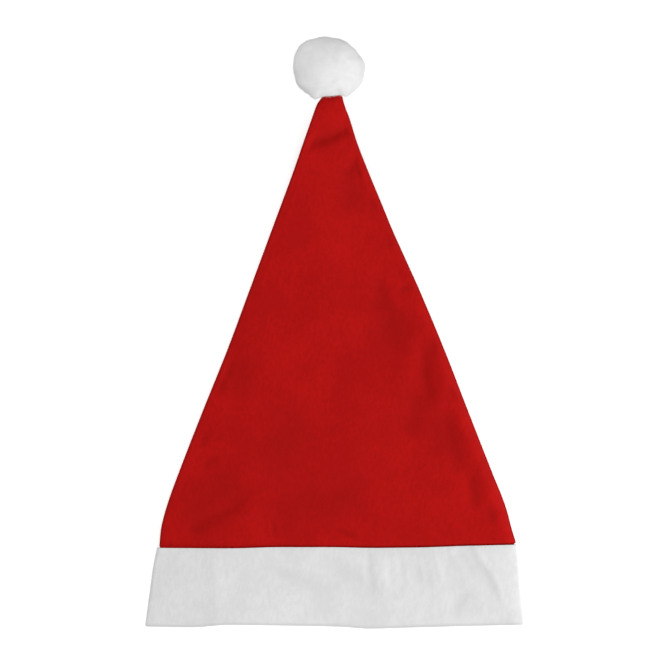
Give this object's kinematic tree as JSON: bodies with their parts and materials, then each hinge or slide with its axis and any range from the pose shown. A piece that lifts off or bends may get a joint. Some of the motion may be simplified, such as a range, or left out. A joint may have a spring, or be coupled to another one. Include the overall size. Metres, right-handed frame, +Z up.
{
  "type": "santa hat",
  "caption": "Hollow felt cone hat lying flat, open at a straight mouth edged by a wide contrasting felt band, with a fluffy ball fixed to its pointed tip.",
  "frame": {"origin": "middle of the hat's outline seen from above, on the surface that it lies on", "axes": "+Z up from the surface, +Y from the mouth towards the pompom, +X across the hat to the right of its upper side"},
  "size_m": [0.2898, 0.4523, 0.049],
  "materials": {
    "red_felt": "matte",
    "white_felt": "matte",
    "white_fluff": "matte"
  },
  "bodies": {
    "root": {"crown": "red_felt", "band": "white_felt", "pompom": "white_fluff"}
  },
  "joints": []
}
